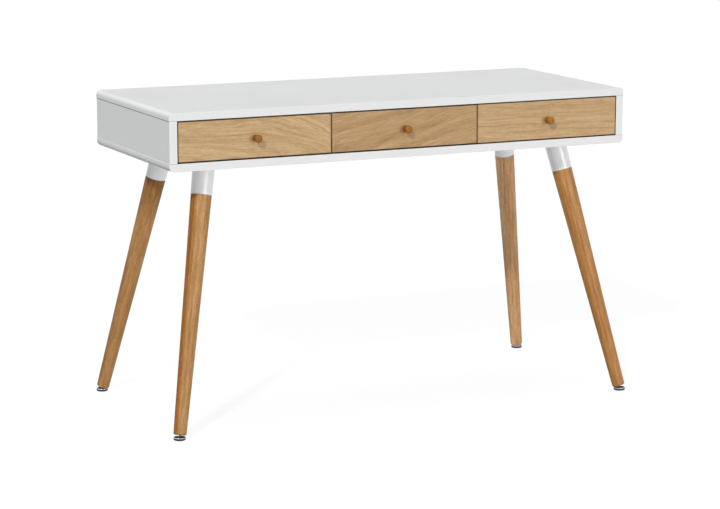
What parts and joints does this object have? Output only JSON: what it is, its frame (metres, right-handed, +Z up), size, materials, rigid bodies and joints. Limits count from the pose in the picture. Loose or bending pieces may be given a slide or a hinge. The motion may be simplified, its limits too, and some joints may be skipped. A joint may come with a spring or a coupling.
{
  "type": "writing desk with drawers",
  "caption": "Long low writing desk: white casing with flush oak-fronted drawers on splayed, tapered round legs with collars and levelling feet.",
  "frame": {"origin": "on the floor, under the middle of the desk", "axes": "+X to the right along the desk seen from the front, drawers open towards -Y, +Z up"},
  "size_m": [1.2124, 0.5704, 0.762],
  "materials": {
    "white_lacquer": "satin white lacquer on board",
    "oak_veneer": "oak veneer, matt lacquer",
    "turned_oak": "turned oak, satin lacquer",
    "drawer_board": "white coated board",
    "beech": "plain beech",
    "white_collar": "white paint",
    "zinc_steel": "zinc plated",
    "foot_plastic": "moulded black"
  },
  "bodies": {
    "casing": {"top_panel": "white_lacquer", "bottom_panel": "white_lacquer", "left_side_panel": "white_lacquer", "right_side_panel": "white_lacquer", "back_panel": "white_lacquer", "left_divider": "white_lacquer", "right_divider": "white_lacquer", "casing_dowels": "beech", "casing_cam_fittings": "zinc_steel", "casing_rails": "zinc_steel", "rail_screws": "zinc_steel", "collar_screws": "zinc_steel", "leg_studs": "zinc_steel", "foot_sleeves": "zinc_steel", "front_left_collar": "white_collar", "front_left_leg": "turned_oak", "front_right_collar": "white_collar", "front_right_leg": "turned_oak", "back_left_collar": "white_collar", "back_left_leg": "turned_oak", "back_right_collar": "white_collar", "back_right_leg": "turned_oak"},
    "left_drawer": {"left_drawer_front": "oak_veneer", "left_drawer_left_side": "drawer_board", "left_drawer_right_side": "drawer_board", "left_drawer_back": "drawer_board", "left_drawer_bottom": "drawer_board", "left_drawer_knob": "turned_oak", "left_drawer_dowels": "beech", "left_drawer_screws": "zinc_steel", "left_drawer_rails": "zinc_steel"},
    "left_cages": {"left_ball_cages": "zinc_steel"},
    "centre_drawer": {"centre_drawer_front": "oak_veneer", "centre_drawer_left_side": "drawer_board", "centre_drawer_right_side": "drawer_board", "centre_drawer_back": "drawer_board", "centre_drawer_bottom": "drawer_board", "centre_drawer_knob": "turned_oak", "centre_drawer_dowels": "beech", "centre_drawer_screws": "zinc_steel", "centre_drawer_rails": "zinc_steel"},
    "centre_cages": {"centre_ball_cages": "zinc_steel"},
    "right_drawer": {"right_drawer_front": "oak_veneer", "right_drawer_left_side": "drawer_board", "right_drawer_right_side": "drawer_board", "right_drawer_back": "drawer_board", "right_drawer_bottom": "drawer_board", "right_drawer_knob": "turned_oak", "right_drawer_dowels": "beech", "right_drawer_screws": "zinc_steel", "right_drawer_rails": "zinc_steel"},
    "right_cages": {"right_ball_cages": "zinc_steel"},
    "front_left_foot": {"front_left_foot_stem": "zinc_steel", "front_left_foot_pad": "foot_plastic"},
    "front_right_foot": {"front_right_foot_stem": "zinc_steel", "front_right_foot_pad": "foot_plastic"},
    "back_left_foot": {"back_left_foot_stem": "zinc_steel", "back_left_foot_pad": "foot_plastic"},
    "back_right_foot": {"back_right_foot_stem": "zinc_steel", "back_right_foot_pad": "foot_plastic"}
  },
  "joints": [
    {"name": "left_drawer_slide", "type": "slide", "parent": "casing", "child": "left_drawer", "axis": [0, -1, 0], "range_m": [0, 0.3]},
    {"name": "left_cage_slide", "type": "slide", "parent": "casing", "child": "left_cages", "axis": [0, -1, 0], "range_m": [0, 0.15]},
    {"name": "centre_drawer_slide", "type": "slide", "parent": "casing", "child": "centre_drawer", "axis": [0, -1, 0], "range_m": [0, 0.3]},
    {"name": "centre_cage_slide", "type": "slide", "parent": "casing", "child": "centre_cages", "axis": [0, -1, 0], "range_m": [0, 0.15]},
    {"name": "right_drawer_slide", "type": "slide", "parent": "casing", "child": "right_drawer", "axis": [0, -1, 0], "range_m": [0, 0.3]},
    {"name": "right_cage_slide", "type": "slide", "parent": "casing", "child": "right_cages", "axis": [0, -1, 0], "range_m": [0, 0.15]},
    {"name": "front_left_foot_screw", "type": "slide", "parent": "casing", "child": "front_left_foot", "axis": [-0.1882, -0.2082, -0.9598], "range_m": [0, 0.012]},
    {"name": "front_right_foot_screw", "type": "slide", "parent": "casing", "child": "front_right_foot", "axis": [0.1882, -0.2082, -0.9598], "range_m": [0, 0.012]},
    {"name": "back_left_foot_screw", "type": "slide", "parent": "casing", "child": "back_left_foot", "axis": [-0.1882, 0.2082, -0.9598], "range_m": [0, 0.012]},
    {"name": "back_right_foot_screw", "type": "slide", "parent": "casing", "child": "back_right_foot", "axis": [0.1882, 0.2082, -0.9598], "range_m": [0, 0.012]}
  ],
  "couplings": [
    {"joint": "left_cage_slide", "follows": "left_drawer_slide", "ratio": 0.5},
    {"joint": "centre_cage_slide", "follows": "centre_drawer_slide", "ratio": 0.5},
    {"joint": "right_cage_slide", "follows": "right_drawer_slide", "ratio": 0.5}
  ]
}
